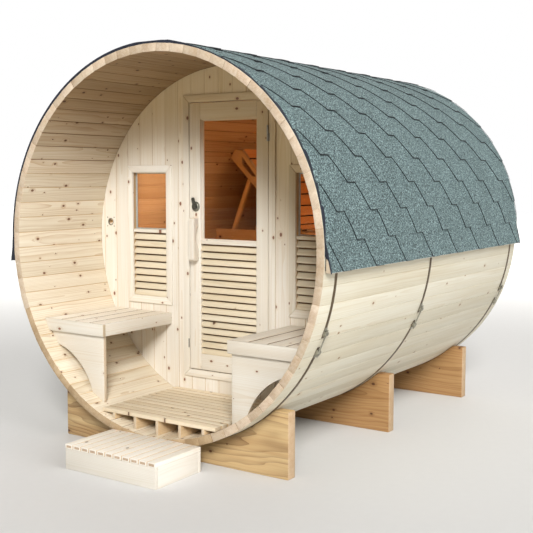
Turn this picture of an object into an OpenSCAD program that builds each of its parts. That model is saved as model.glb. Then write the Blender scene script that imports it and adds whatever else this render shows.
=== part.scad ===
// Outdoor barrel sauna with an open porch, on three cradles.
// Millimetres, +Z up, the porch faces -Y. The origin is on the ground, under the middle cradle.
// Outlines across the barrel are drawn about its axis.

/* [Barrel] */
// Radius to the outer faces of the staves
barrel_r = 1000; // [970:5:1100]
// Length of the barrel
barrel_len = 2400; // [2300:10:3000]
// Thickness of a stave
stave_t = 40; // [34:1:46]
// Number of staves, a multiple of eight
stave_n = 72; // [56:8:88]
// Gap between neighbouring staves
stave_gap = 0.4; // [0.2:0.1:0.8]
// Chamfer along the edges of a stave
stave_chamfer = 2; // [0.5:0.5:4]
// Height of the barrel above the ground
ground_gap = 85; // [60:5:120]
// Clearance between pieces that meet
fit = 0.3; // [0.2:0.05:0.5]

/* [Bands] */
// Width of a steel band
band_w = 20; // [14:1:24]
// Thickness of a steel band
band_t = 1.6; // [1:0.2:2.4]
// Distance between an end cradle and the band beside it
band_clear = 5; // [3:1:12]
// Clearance of the rear band from its cradle
rear_band_clear = 28; // [3:1:40]
// Distance between the middle cradle and the band in front of it
mid_band_clear = 39; // [10:1:60]
// Angle of the band tensioners below the axis
tensioner_angle = 23.5; // [15:0.5:30]
// Distance between the two lugs of a tensioner
lug_span = 98; // [80:2:120]
// Height of a lug above the band
lug_h = 16; // [12:1:20]
// Diameter of the tensioner rod
rod_d = 8; // [6:1:10]

/* [Roof] */
// Thickness of the underlay
felt_t = 2; // [1:0.5:3]
// Thickness of a shingle course at its lower edge
butt_t = 7; // [5:0.5:10]
// Thickness of a shingle course at its upper edge
head_t = 4; // [2:0.5:5]
// Shingle courses on each side
course_n = 12; // [10:1:14]
// Angle of the right eave below the axis
eave_right = 3.8; // [2:0.2:8]
// Angle of the left eave below the axis
eave_left = 6.4; // [2:0.2:8]
// Half the angle under the ridge strip
ridge_half = 2.4; // [1.5:0.1:4]
// Setback of the roof from each end of the barrel
roof_setback = 8; // [0:1:30]
// Height of the wedge batten under an eave
batten_h = 70; // [50:2:90]
// Thickness of the batten at its upper edge
batten_top = 8; // [5:1:12]
// Thickness of the batten at its lower edge
batten_low = 28; // [20:1:34]

/* [Cradles] */
// Thickness of a cradle plank
cradle_t = 62; // [44:1:70]
// Width of a cradle
cradle_w = 1472; // [1300:4:1560]
// Height of a cradle
cradle_h = 330; // [280:5:360]
// Distance from each end of the barrel to the middle of its cradle
cradle_inset = 157; // [130:1:220]

/* [Walls] */
// Thickness of the end walls
wall_t = 40; // [32:1:46]
// Depth of the porch, from the front of the barrel to the front wall
porch_depth = 650; // [560:5:720]
// Setback of the back wall from the rear of the barrel
back_setback = 50; // [30:5:100]
// Thickness of the casings round the door and windows
casing_t = 10; // [8:1:14]
// Width of the casing boards
casing_w = 42; // [34:1:46]
// Diameter of the round vent in the front wall
vent_d = 40; // [30:1:60]
// Distance of the vent's middle from the staves
vent_inset = 74; // [60:1:90]
// Angle of the vent above the axis
vent_angle = 5.2; // [2:0.2:8]

/* [Door] */
// Width of the door leaf
door_w = 533; // [500:1:560]
// Thickness of the door leaf
door_t = 42; // [38:1:46]
// Height of the bottom of the leaf above the floor
door_sill = 122; // [90:2:150]
// Distance from the top of the leaf to the staves over it
door_head = 200; // [170:2:260]
// Gap between the leaf and its opening
door_gap = 5; // [5:0.5:8]
// Width of a stile
stile_w = 75; // [65:1:90]
// Height of the top and bottom rails
rail_h = 90; // [75:1:100]
// Share of the leaf's height below its glass
door_glass_share = 0.491; // [0.4:0.005:0.6]
// Height of the bar under a pane
bar_h = 20; // [16:1:30]
// Thickness of the panes
pane_t = 6; // [4:1:8]
// Distance from the door's pane to the back of the leaf
door_pane_back = 9; // [3:1:20]
// Distance from a window's pane to the cabin side of the wall
window_pane_back = 3; // [2:1:15]
// Number of louvre slats in the door
door_slat_n = 16; // [14:1:18]
// Height of the front lip of a louvre slat
slat_lip = 8; // [6:0.5:10]
// Depth of a louvre slat
slat_run = 22; // [18:1:24]
// Shadow gap between louvre slats
slat_shadow = 6; // [4:0.5:9]
// Thickness of the board behind the louvres
backing_t = 8; // [6:1:9]

/* [Door hardware] */
// Height of the handle
handle_h = 240; // [210:5:280]
// Width of the handle
handle_w = 40; // [30:1:46]
// Depth of the handle in front of the leaf
handle_d = 47; // [42:1:56]
// Thickness of the grip
grip_t = 22; // [16:1:26]
// Length of the opening behind the grip
grip_l = 130; // [110:2:150]
// Height of the opening's middle above the axis
grip_z = 14; // [0:1:20]
// Rounding of the handle's front corners
handle_round = 14; // [4:1:18]
// Diameter of the latch rosette
rosette_d = 56; // [44:1:60]
// Height of the latch above the middle of the handle
latch_z = 185; // [165:5:220]
// Length of the latch lever from its pivot
lever_l = 52; // [40:1:60]
// Width of the latch lever
lever_w = 19; // [14:1:22]
// Lean of the latch lever at rest
lever_lean = 16; // [0:1:20]
// Distance of the latch from the edge of the leaf
latch_inset = 44; // [36:1:46]
// Height of a hinge
hinge_h = 85; // [70:1:110]
// Distance of the hinges from the top and bottom of the leaf
hinge_inset = 176; // [120:2:240]
// Radius of a hinge knuckle
knuckle_r = 5; // [4:0.5:5.5]
// Width of a hinge plate, from the pin
hinge_plate = 9; // [7:1:20]

/* [Windows] */
// Near edge of the windows, as a share of the way from the door's casing to the staves
window_start = 0.2; // [0.16:0.005:0.24]
// Far edge of the windows, as a share of the way from the door's casing to the staves
window_end = 0.595; // [0.55:0.005:0.62]
// Height of the windows above the bench seats
window_sill = 85; // [70:1:110]
// Distance between the staves and a window casing's upper corner, as a share of the radius
window_margin = 0.115; // [0.08:0.005:0.16]
// Share of the window's height below its glass
window_glass_share = 0.543; // [0.4:0.005:0.65]
// Number of louvre slats in a window
window_slat_n = 9; // [7:1:11]

/* [Floor] */
// Width of the floor, as a share of the wall's radius
floor_share = 0.778; // [0.7:0.002:0.84]
// Thickness of the floor slats
floor_t = 20; // [16:1:24]
// Setback of the porch floor from the front of the barrel
floor_setback = 32; // [20:2:60]
// Width of a floor slat, before it is evened out
floor_slat = 82; // [60:2:110]
// Width of a porch floor slat, before it is evened out
porch_slat = 46; // [40:2:110]
// Gap between floor slats
floor_gap = 6; // [4:1:10]
// Thickness of a joist
joist_t = 18; // [16:1:24]
// Distance between joists
joist_pitch = 148; // [120:1:155]

/* [Porch benches] */
// Distance from the middle to a bench
bench_x = 410; // [390:2:430]
// Setback of the benches from the front of the barrel
bench_setback = 78; // [60:2:120]
// Height of the seat above the floor, as a share of the wall's radius
seat_share = 0.449; // [0.42:0.001:0.48]
// Thickness of the seat slats
seat_t = 25; // [20:1:30]
// Number of seat slats
seat_n = 4; // [3:1:5]
// Gap between seat slats
seat_gap = 8; // [5:1:12]
// Height of the fascia
fascia_h = 66; // [56:1:80]
// Thickness of the bench boards
bench_t = 20; // [16:1:24]
// Inset of the end panel from the fascia's edge
panel_inset = 15; // [8:1:20]
// Radius of the arc cut in the end panel
panel_arc_r = 352; // [320:2:380]
// Width of the end panel beside its arc
panel_leg = 71; // [60:1:90]
// Height of the end panel over its arc
panel_over = 106; // [90:1:130]

/* [Step] */
// Width of the step
step_w = 582; // [480:2:640]
// Depth of the step
step_d = 338; // [280:2:400]
// Height of the step
step_h = 126; // [100:1:150]
// Sideways place of the step
step_x = 18; // [-30:1:30]
// Number of tread slats
tread_n = 11; // [9:1:13]
// Gap between tread slats
tread_gap = 4; // [3:1:8]
// Thickness of the tread slats
tread_t = 22; // [18:1:26]
// Thickness of the box boards
step_t = 20; // [16:1:24]

/* [Lounger] */
// Depth of the lounger, from the back wall
lounger_d = 510; // [450:5:600]
// Depth of the rail's top below the axis
rail_z = 16; // [0:2:40]
// Height of a lounger rail
lounger_rail_h = 100; // [80:2:140]
// Thickness of rails and frames
frame_t = 28; // [22:1:34]
// Angle of the head end, round the barrel
head_angle = 146; // [143:0.5:150]
// Length of the head board's top edge
head_top = 60; // [40:2:80]
// Place where the back rest meets the seat, left of the middle
hip_x = 244; // [220:2:280]
// Number of slats on the back rest
back_slat_n = 8; // [6:1:9]
// Width of a lounger slat, before it is evened out
lounger_slat = 82; // [60:2:100]
// Gap between lounger slats
lounger_gap = 9; // [6:1:12]
// Thickness of the lounger slats
lounger_slat_t = 18; // [14:1:22]
// Width of the strut under the back rest
strut_w = 30; // [24:2:40]
// Place of the strut's head along the underside of the back rest, as a share
strut_head = 0.33; // [0.28:0.01:0.5]
// Angle of the back rest's lower corner, round the barrel
tail_angle = 150; // [148:0.5:154]
// Width of the back rest's curved and straight edges round its opening
frame_edge = 29; // [22:1:30]

/* [Hidden] */
$fn = 288;

// Barrel radii, from the inside out
in_r = barrel_r - stave_t;
wall_r = in_r - fit;
corner_r = barrel_r / cos(180 / stave_n);
cradle_r = corner_r + fit;
band_in = corner_r + fit;
band_out = band_in + band_t;
felt_in = band_out + fit;
felt_out = felt_in + felt_t;
plate_in = felt_out + fit;
axis_z = ground_gap + barrel_r;
far = 2 * barrel_r;

// Places along the barrel
front_y = -barrel_len / 2;
rear_y = barrel_len / 2;
wall_y = front_y + porch_depth;
cabin_y = wall_y + wall_t;
back_y = rear_y - back_setback - wall_t;
cradle_pitch = barrel_len / 2 - cradle_inset;
end_band = cradle_pitch + cradle_t / 2 + band_clear + band_w / 2;
mid_band = cradle_t / 2 + mid_band_clear + band_w / 2;
rear_band = end_band + rear_band_clear - band_clear;
band_y = [-end_band, -mid_band, rear_band];
roof_front = front_y + roof_setback;
roof_rear = rear_y - roof_setback;

// Floor and benches, as depths below the axis
floor_half = floor_share * wall_r / 2;
floor_low = reach(floor_half + fit);
floor_z = floor_low - floor_t;
seat_z = floor_z - seat_share * wall_r;
seat_low = -seat_z - seat_t;
seat_far = reach(seat_low) - fit;
joist_z = -floor_low - fit;
bench_y = front_y + bench_setback;

// Door
door_low = -floor_z + door_sill;
door_high = wall_r - door_head;
door_glass_low = door_low + door_glass_share * (door_high - door_low);
hinge_zs = [door_low + hinge_inset, door_high - hinge_inset];
opening_w = door_w + 2 * door_gap;
opening_low = door_low - door_gap;
opening_high = door_high + door_gap;
door_y = wall_y - casing_t + 2;
leaf_in = door_w / 2 - stile_w;
hinge_x = opening_w / 2 - door_gap / 2;
hinge_y = wall_y - casing_t - knuckle_r - 1;
latch_x = latch_inset - door_w / 2;
rosette_t = 8;
plate_t = 2;

// Windows
door_edge = opening_w / 2 + casing_w;
window_near = door_edge + window_start * (wall_r - door_edge);
window_far = door_edge + window_end * (wall_r - door_edge);
window_low = -seat_z + window_sill;
window_corner = (1 - window_margin) * wall_r;
window_high = sqrt(pow(window_corner, 2) - pow(window_far + casing_w, 2)) - casing_w;
window_glass_low = window_low + window_glass_share * (window_high - window_low);

// Lounger
lounger_y = back_y - fit - lounger_d;
rail_top = -rail_z;
apex = polar(wall_r, head_angle);
hip = [-hip_x, rail_top + fit];

// Colours
pine = [0.91, 0.83, 0.69];
pale_pine = [0.94, 0.88, 0.76];
yellow_pine = [0.80, 0.63, 0.36];
amber_pine = [0.78, 0.50, 0.27];
shingle = [0.41, 0.50, 0.50];
felt = [0.10, 0.12, 0.18];
steel = [0.62, 0.63, 0.63];
dark_metal = [0.16, 0.15, 0.14];
bronze_glass = [0.45, 0.26, 0.12, 0.5];

function polar(r, a) = [r * cos(a), r * sin(a)];

// Half the width of a stave at a radius
function stave_half(r) = r * tan(180 / stave_n) - stave_gap / 2;

// Reach of the barrel's inside at a height from the axis
function reach(z) = sqrt(pow(wall_r, 2) - pow(z, 2));

// Point and slope on the back rest's curve, from the head to the hip
back_w = hip[0] - apex[0];
back_h = apex[1] - hip[1];
head_point = apex + [head_top, -head_top / 10];
neck = apex + [0.39 * back_w, -0.31 * back_h];
lumbar = hip + [-0.2 * back_w, 0.11 * back_h];
heel = hip - [0.15 * back_w, 0];
tail = polar(wall_r, tail_angle);
function back_curve(t) =
    pow(1 - t, 3) * head_point + 3 * pow(1 - t, 2) * t * neck
    + 3 * (1 - t) * t * t * lumbar + pow(t, 3) * hip;
function back_slope(t) =
    let (d = back_curve(min(t + 0.02, 1)) - back_curve(max(t - 0.02, 0)))
    atan2(d[1], d[0]);

// Extrudes an outline, drawn about the barrel's axis, from y0 to y1
module slab(y0, y1) {
    translate([0, y1, axis_z])
        rotate([90, 0, 0])
        linear_extrude(y1 - y0) children();
}

// A board between two corners, with heights from the ground
module board(low, high) {
    translate(low) cube(high - low);
}

// A rectangle between two corners
module rect(low, high) {
    translate(low) square(high - low);
}

// Copies on the right and, mirrored, on the left
module both_sides() {
    children();
    mirror([1, 0, 0]) children();
}

// The room inside the staves
module inside() {
    circle(r = wall_r);
}

module stave(a) {
    c = stave_chamfer;
    rotate(a) polygon([
        [in_r, -stave_half(in_r) + c],
        [in_r + c, -stave_half(in_r + c)],
        [barrel_r - c, -stave_half(barrel_r - c)],
        [barrel_r, -stave_half(barrel_r) + c],
        [barrel_r, stave_half(barrel_r) - c],
        [barrel_r - c, stave_half(barrel_r - c)],
        [in_r + c, stave_half(in_r + c)],
        [in_r, stave_half(in_r) - c]
    ]);
}

// One of the eight groups of staves, counted anticlockwise from the right
module staves(group) {
    n = stave_n / 8;
    mid = group * 360 / 8;
    color(pale_pine)
        slab(front_y, rear_y)
        for (i = [0 : n - 1])
            stave(mid + (i - (n - 1) / 2) * 360 / stave_n);
}

module staves_right() { staves(0); }
module staves_upper_right() { staves(1); }
module staves_top() { staves(2); }
module staves_upper_left() { staves(3); }
module staves_left() { staves(4); }
module staves_lower_left() { staves(5); }
module staves_bottom() { staves(6); }
module staves_lower_right() { staves(7); }

module bands() {
    lug_angle = lug_span / 2 / band_out * 180 / PI;
    color(steel)
        for (y = band_y)
            slab(y - band_w / 2, y + band_w / 2)
            difference() {
                circle(r = band_out);
                circle(r = band_in);
                polygon([
                    [0, 0],
                    polar(far, -tensioner_angle - lug_angle / 2),
                    polar(far, -tensioner_angle + lug_angle / 2)
                ]);
            }
}

// Two lugs and the threaded rod that draws them together
module band_tensioners() {
    lug_angle = lug_span / 2 / band_out * 180 / PI;
    rod_r = band_out + fit + lug_h / 2;
    color(steel)
        for (y = band_y) {
            slab(y - band_w / 2, y + band_w / 2)
                for (a = [-1, 1])
                    rotate(-tensioner_angle + a * lug_angle)
                    translate([band_out + fit, -lug_h / 2])
                    square(lug_h);
            translate([0, y, axis_z])
                rotate([0, tensioner_angle, 0])
                translate([rod_r, 0, -lug_span / 2 - 2 * lug_h])
                cylinder(h = lug_span + 4 * lug_h, d = rod_d);
        }
}

module roof_underlay() {
    color(felt)
        slab(roof_front, roof_rear)
        difference() {
            circle(r = felt_out);
            circle(r = felt_in);
            polygon([
                [0, 0],
                polar(far, -eave_right + 0.5),
                [far, -far],
                [-far, -far],
                polar(far, 180 + eave_left - 0.5)
            ]);
        }
}

// One lapped course of shingles between two angles
module course(a0, a1) {
    r = plate_in / cos((a1 - a0) / 2);
    seam = fit / r * 180 / PI;
    polygon([
        polar(r, a0 + seam),
        polar(r + butt_t, a0 + seam),
        polar(r + head_t, a1),
        polar(r, a1)
    ]);
}

// Thickness of the wedge batten at an angle above its lower edge
batten_angle = batten_h / plate_in * 180 / PI;
batten_r = plate_in / cos(batten_angle / 2);

// The lowest course, which flares out over the wedge batten
module eave_course(low, high) {
    top = low + batten_angle;
    r = plate_in / cos((high - top) / 2);
    seam = fit / r * 180 / PI;
    lift = 2 * fit;
    polygon([
        polar(batten_r + batten_low + lift, low - seam),
        polar(batten_r + batten_low + lift + butt_t, low - seam),
        polar(batten_r + batten_top + lift + head_t, top),
        polar(batten_r + batten_top + lift, top)
    ]);
    polygon([
        polar(batten_r + batten_top + lift, top + seam),
        polar(batten_r + batten_top + lift + head_t, top + seam),
        polar(r + head_t, high),
        polar(r, high)
    ]);
}

// Right half of the roof, from an eave below the axis to the ridge strip
module roof_half(eave) {
    pitch = (90 - ridge_half + eave) / course_n;
    slab(roof_front, roof_rear) {
        eave_course(-eave, -eave + pitch);
        for (i = [1 : course_n - 1])
            course(-eave + i * pitch, -eave + (i + 1) * pitch);
    }
}

module roof_right() {
    color(shingle) roof_half(eave_right);
}

module roof_left() {
    color(shingle) mirror([1, 0, 0]) roof_half(eave_left);
}

module roof_ridge() {
    r = plate_in / cos(ridge_half);
    seam = fit / r * 180 / PI;
    half = ridge_half - seam;
    color(shingle)
        slab(roof_front, roof_rear)
        polygon([
            polar(r, 90 - half),
            polar(r + butt_t, 90 - half),
            polar(r + butt_t, 90 + half),
            polar(r, 90 + half)
        ]);
}

module batten(eave) {
    slab(roof_front, roof_rear)
        polygon([
            polar(batten_r, -eave),
            polar(batten_r + batten_low, -eave),
            polar(batten_r + batten_top, -eave + batten_angle),
            polar(batten_r, -eave + batten_angle)
        ]);
}

module eave_battens() {
    color(pine) {
        batten(eave_right);
        mirror([1, 0, 0]) batten(eave_left);
    }
}

module cradle(y) {
    color(yellow_pine)
        slab(y - cradle_t / 2, y + cradle_t / 2)
        difference() {
            rect([-cradle_w / 2, -axis_z], [cradle_w / 2, -axis_z + cradle_h]);
            circle(r = cradle_r);
        }
}

module front_cradle() { cradle(-cradle_pitch); }
module middle_cradle() { cradle(0); }
module rear_cradle() { cradle(cradle_pitch); }

// Right half of the front wall, beside the door, with its window opening
module wall_side() {
    difference() {
        intersection() {
            inside();
            rect([opening_w / 2 + fit, -far], [far, far]);
        }
        rect([window_near, window_low], [window_far, window_high]);
    }
}

module front_wall_right() {
    color(pine) slab(wall_y, cabin_y) wall_side();
}

module front_wall_left() {
    color(pine)
        slab(wall_y, cabin_y)
        difference() {
            mirror([1, 0]) wall_side();
            translate(polar(wall_r - vent_inset, 180 - vent_angle)) circle(d = vent_d);
        }
}

module front_wall_head() {
    color(pine)
        slab(wall_y, cabin_y)
        intersection() {
            inside();
            rect([-opening_w / 2, opening_high], [opening_w / 2, far]);
        }
}

module front_wall_sill() {
    color(pine)
        slab(wall_y, cabin_y)
        intersection() {
            inside();
            rect([-opening_w / 2, -far], [opening_w / 2, opening_low]);
        }
}

module back_wall() {
    color(pine) slab(back_y, back_y + wall_t) inside();
}

// Four mitred boards round an opening
module casing(low, high) {
    w = casing_w;
    for (z = [[low[1], -1], [high[1], 1]])
        polygon([
            [low[0] - w, z[0] + z[1] * w],
            [high[0] + w, z[0] + z[1] * w],
            [high[0], z[0]],
            [low[0], z[0]]
        ]);
    for (x = [[low[0], -1], [high[0], 1]])
        polygon([
            [x[0] + x[1] * w, low[1] - w + 2 * fit],
            [x[0] + x[1] * w, high[1] + w - 2 * fit],
            [x[0], high[1] - 2 * fit],
            [x[0], low[1] + 2 * fit]
        ]);
}

module door_casing() {
    color(pale_pine)
        slab(wall_y - casing_t, wall_y - fit)
        casing([-opening_w / 2, opening_low], [opening_w / 2, opening_high]);
}

module window_casings() {
    low = [window_near, window_low];
    high = [window_far, window_high];
    bar_low = [low[0] + fit, window_glass_low - bar_h];
    bar_high = [high[0] - fit, window_glass_low];
    color(pale_pine)
        both_sides() {
            slab(wall_y - casing_t, wall_y - fit) casing(low, high);
            slab(wall_y + fit, cabin_y - fit) rect(bar_low, bar_high);
        }
}

module window_glass() {
    y = cabin_y - window_pane_back - pane_t;
    color(bronze_glass)
        both_sides()
        slab(y, y + pane_t)
        rect(
            [window_near + fit, window_glass_low + fit],
            [window_far - fit, window_high - fit]
        );
}

// Louvre slats between two corners; each leans back from its lower front lip
module louvre(low, high, y, n) {
    pitch = (high[1] - low[1]) / n;
    rise = pitch - slat_shadow;
    thick = slat_run / 3;
    for (i = [0 : n - 1])
        translate([low[0] + fit, y, axis_z + low[1] + i * pitch + fit])
            rotate([90, 0, 90])
            linear_extrude(high[0] - low[0] - 2 * fit)
            polygon([
                [0, 0],
                [0, slat_lip],
                [slat_run - thick, rise],
                [slat_run, rise],
                [slat_run, rise - slat_lip],
                [thick, 0]
            ]);
}

module window_louvres() {
    color(pine)
        both_sides()
        louvre(
            [window_near, window_low],
            [window_far, window_glass_low - bar_h],
            wall_y + 2, window_slat_n
        );
}

module window_backing() {
    y = wall_y + 2 + slat_run + fit;
    color(pine)
        both_sides()
        slab(y, y + backing_t)
        rect(
            [window_near + fit, window_low + fit],
            [window_far - fit, window_glass_low - bar_h - fit]
        );
}

// Joists between two places; the barrel shapes their undersides
module joists(y0, y1) {
    slab(y0, y1)
        intersection() {
            inside();
            for (i = [-2 : 2])
                rect(
                    [i * joist_pitch - joist_t / 2, -far],
                    [i * joist_pitch + joist_t / 2, joist_z]
                );
        }
}

// Floor slats laid across the joists, evened out between two places
module floor_slats(y0, y1, w) {
    n = round((y1 - y0 + floor_gap) / (w + floor_gap));
    pitch = (y1 - y0 + floor_gap) / n;
    for (i = [0 : n - 1])
        board(
            [-floor_half, y0 + i * pitch, axis_z - floor_low],
            [floor_half, y0 + (i + 1) * pitch - floor_gap, axis_z - floor_z]
        );
}

module porch_joists() { color(pine) joists(front_y + floor_setback, wall_y - fit); }
module porch_floor() { color(pine) floor_slats(front_y + floor_setback, wall_y - fit, porch_slat); }
module cabin_joists() { color(pine) joists(cabin_y + fit, back_y - fit); }
module cabin_floor() { color(pine) floor_slats(cabin_y + fit, back_y - fit, floor_slat); }

// End panel under the front of each bench, with its arc cut out
module bench_panels() {
    color(pine)
        both_sides()
        slab(bench_y + bench_t + fit, bench_y + 2 * bench_t)
        difference() {
            intersection() {
                inside();
                rect(
                    [bench_x + panel_inset, -floor_z],
                    [far, seat_low - fit]
                );
            }
            translate([
                bench_x + panel_inset + panel_leg + panel_arc_r,
                seat_low - panel_over - panel_arc_r
            ]) circle(r = panel_arc_r);
        }
}

// Fascia boards along the front and the inner side of each bench
module bench_fascias() {
    color(pale_pine)
        both_sides() {
            slab(bench_y, bench_y + bench_t)
                intersection() {
                    inside();
                    rect([bench_x, -seat_z - fascia_h], [far, -seat_z]);
                }
            board(
                [bench_x, bench_y + bench_t + fit, axis_z - seat_z - fascia_h],
                [bench_x + panel_inset - fit, wall_y - fit, axis_z - seat_z]
            );
        }
}

module bench_seats() {
    x0 = bench_x + panel_inset;
    pitch = (seat_far - x0 + seat_gap) / seat_n;
    color(pale_pine)
        both_sides()
        for (i = [0 : seat_n - 1])
            board(
                [x0 + i * pitch, bench_y + bench_t + fit, axis_z + seat_low],
                [x0 + (i + 1) * pitch - seat_gap, wall_y - fit, axis_z - seat_z]
            );
}

// Cleats on the front wall that carry the seat slats
module bench_cleats() {
    cleat = fascia_h - seat_t;
    color(pine)
        both_sides()
        slab(wall_y - fit - cleat, wall_y - fit)
        intersection() {
            inside();
            rect([bench_x + panel_inset, seat_low - cleat], [far, seat_low - fit]);
        }
}

// The four boards of the loose step
module step_box() {
    x0 = step_x - step_w / 2;
    x1 = step_x + step_w / 2;
    y1 = front_y - fit;
    y0 = y1 - step_d;
    z1 = step_h - tread_t - fit;
    color(pale_pine) {
        for (x = [x0, x1 - step_t])
            board([x, y0 + step_t + fit, 0], [x + step_t, y1 - step_t - fit, z1]);
        for (y = [y0, y1 - step_t])
            board([x0, y, 0], [x1, y + step_t, z1]);
    }
}

module step_treads() {
    x0 = step_x - step_w / 2;
    y1 = front_y - fit;
    pitch = (step_w + tread_gap) / tread_n;
    color(pine)
        for (i = [0 : tread_n - 1])
            board(
                [x0 + i * pitch, y1 - step_d, step_h - tread_t],
                [x0 + (i + 1) * pitch - tread_gap, y1, step_h]
            );
}

// Places of the lounger's front and rear frame
frame_ys = [lounger_y, back_y - fit - frame_t];

module lounger_rails() {
    color(amber_pine)
        for (y = frame_ys)
            slab(y, y + frame_t)
            intersection() {
                inside();
                rect([-far, rail_top - lounger_rail_h], [far, rail_top]);
            }
}

// Curved boards that carry the back rest
module lounger_frames() {
    color(amber_pine)
        for (y = frame_ys)
            slab(y, y + frame_t)
            difference() {
                intersection() {
                    inside();
                    frame_outline();
                }
                intersection() {
                    offset(delta = -frame_edge) frame_outline();
                    rect([head_point[0], back_curve(0.3)[1]], [far, far]);
                }
            }
}

// The back rest's frame from the side, between its curve and its straight underside
module frame_outline() {
    steps = 16;
    polygon(concat(
        [heel, tail, apex],
        [for (i = [0 : steps]) back_curve(i / steps)]
    ));
}

// Slats along the back rest's curve and over the seat
module lounger_slats() {
    x0 = hip[0] + lounger_slat_t + 2 * lounger_gap;
    x1 = reach(rail_top + fit + lounger_slat_t) - fit;
    n = round((x1 - x0 + lounger_gap) / (lounger_slat + lounger_gap));
    pitch = (x1 - x0 + lounger_gap) / n;
    low = axis_z + rail_top + fit;
    color(amber_pine) {
        for (i = [0 : n - 1])
            board(
                [x0 + i * pitch, lounger_y, low],
                [x0 + (i + 1) * pitch - lounger_gap, back_y - fit, low + lounger_slat_t]
            );
        slab(lounger_y, back_y - fit)
            for (i = [0 : back_slat_n - 1])
                back_slat((i + 0.5) / back_slat_n);
    }
}

// One back-rest slat, laid along the chord of its stretch of the curve
module back_slat(t) {
    a = back_curve(t - 0.5 / back_slat_n);
    b = back_curve(t + 0.5 / back_slat_n);
    m = back_curve(t);
    d = b - a;
    w = norm(d) - lounger_gap;
    slope = atan2(d[1], d[0]);
    n = [-sin(slope), cos(slope)];
    bulge = max((m - a) * n, 0);
    translate((a + b) / 2 + n * (bulge + fit))
        rotate(slope)
        translate([-w / 2, 0])
        square([w, lounger_slat_t]);
}

// Struts from the rails up to the back rest's frames
module lounger_struts() {
    foot = [-reach(rail_top) * 0.86, rail_top + fit];
    head = tail + (heel - tail) * strut_head - [2, 2] * fit;
    side = [strut_w, 0];
    lean = (heel - tail) * strut_w / norm(heel - tail);
    color(amber_pine)
        for (y = frame_ys)
            slab(y, y + frame_t)
            polygon([foot, foot + side, head, head - lean]);
}

// Hinge knuckle halves and the plates that carry them
module hinge_half(side, z0, z1, y_face) {
    translate([hinge_x, hinge_y, z0]) cylinder(h = z1 - z0, r = knuckle_r);
    x0 = side > 0 ? hinge_x : hinge_x - hinge_plate;
    board([x0, hinge_y + knuckle_r - plate_t, z0], [x0 + hinge_plate, y_face - fit, z1]);
}

module frame_hinges() {
    color(dark_metal)
        for (z = hinge_zs)
            hinge_half(1, axis_z + z - hinge_h / 2, axis_z + z - fit, wall_y - casing_t);
}

module door_hinges() {
    color(dark_metal)
        for (z = hinge_zs)
            hinge_half(-1, axis_z + z + fit, axis_z + z + hinge_h / 2, door_y);
}

module door_stiles() {
    color(pale_pine)
        slab(door_y, door_y + door_t)
        both_sides()
        rect([leaf_in, door_low], [door_w / 2, door_high]);
}

module door_rails() {
    x = leaf_in - fit;
    color(pale_pine)
        slab(door_y, door_y + door_t) {
            rect([-x, door_low], [x, door_low + rail_h]);
            rect([-x, door_high - rail_h], [x, door_high]);
            rect([-x, door_glass_low - bar_h], [x, door_glass_low]);
        }
}

module door_glass() {
    y = door_y + door_t - door_pane_back - pane_t;
    x = leaf_in - fit;
    color(bronze_glass)
        slab(y, y + pane_t)
        rect([-x, door_glass_low + fit], [x, door_high - rail_h - fit]);
}

module door_louvre() {
    color(pine)
        louvre(
            [-leaf_in, door_low + rail_h],
            [leaf_in, door_glass_low - bar_h],
            door_y + 4, door_slat_n
        );
}

module door_backing() {
    y = door_y + 4 + slat_run + fit;
    x = leaf_in - fit;
    color(pine)
        slab(y, y + backing_t)
        rect([-x, door_low + rail_h + fit], [x, door_glass_low - bar_h - fit]);
}

// Wooden pull with rounded corners and an arched opening for the fingers
module door_handle() {
    rise = handle_d - grip_t;
    arch_r = (pow(grip_l / 2, 2) + pow(rise, 2)) / (2 * rise);
    r = handle_round;
    color(pine)
        translate([latch_x - handle_w / 2, door_y - fit, axis_z])
        rotate([90, 0, 90])
        linear_extrude(handle_w)
        difference() {
            intersection() {
                offset(r = r)
                    rect([r - handle_d, r - handle_h / 2], [r, handle_h / 2 - r]);
                rect([-handle_d, -handle_h / 2], [0, handle_h / 2]);
            }
            translate([arch_r - rise, grip_z]) circle(r = arch_r);
        }
}

// A round piece on the door, along Y
module button(d, y0, y1) {
    translate([latch_x, y1, axis_z + latch_z])
        rotate([90, 0, 0])
        cylinder(h = y1 - y0, d = d);
}

module latch_rosette() {
    color(dark_metal) button(rosette_d, door_y - fit - rosette_t, door_y - fit);
}

module latch_lever() {
    y1 = door_y - 2 * fit - rosette_t;
    y0 = y1 - rosette_t;
    tip = lever_l - lever_w / 2;
    color(dark_metal)
        slab(y0, y1)
        translate([latch_x, latch_z]) {
            circle(d = rosette_d * 0.6);
            rotate(lever_lean)
                hull() {
                    circle(d = lever_w);
                    translate([0, tip]) circle(d = lever_w);
                }
        }
}

staves_right();
staves_upper_right();
staves_top();
staves_upper_left();
staves_left();
staves_lower_left();
staves_bottom();
staves_lower_right();
bands();
band_tensioners();
roof_underlay();
roof_right();
roof_left();
roof_ridge();
eave_battens();
front_cradle();
middle_cradle();
rear_cradle();
front_wall_left();
front_wall_right();
front_wall_head();
front_wall_sill();
back_wall();
door_casing();
window_casings();
window_glass();
window_louvres();
window_backing();
porch_joists();
porch_floor();
cabin_joists();
cabin_floor();
bench_panels();
bench_fascias();
bench_seats();
bench_cleats();
step_box();
step_treads();
lounger_rails();
lounger_frames();
lounger_slats();
lounger_struts();
frame_hinges();
door_stiles();
door_rails();
door_glass();
door_louvre();
door_backing();
door_handle();
door_hinges();
latch_rosette();
latch_lever();
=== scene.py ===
import math
import random

import bmesh
import bpy
import numpy as np
from mathutils import Matrix, Vector


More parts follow.
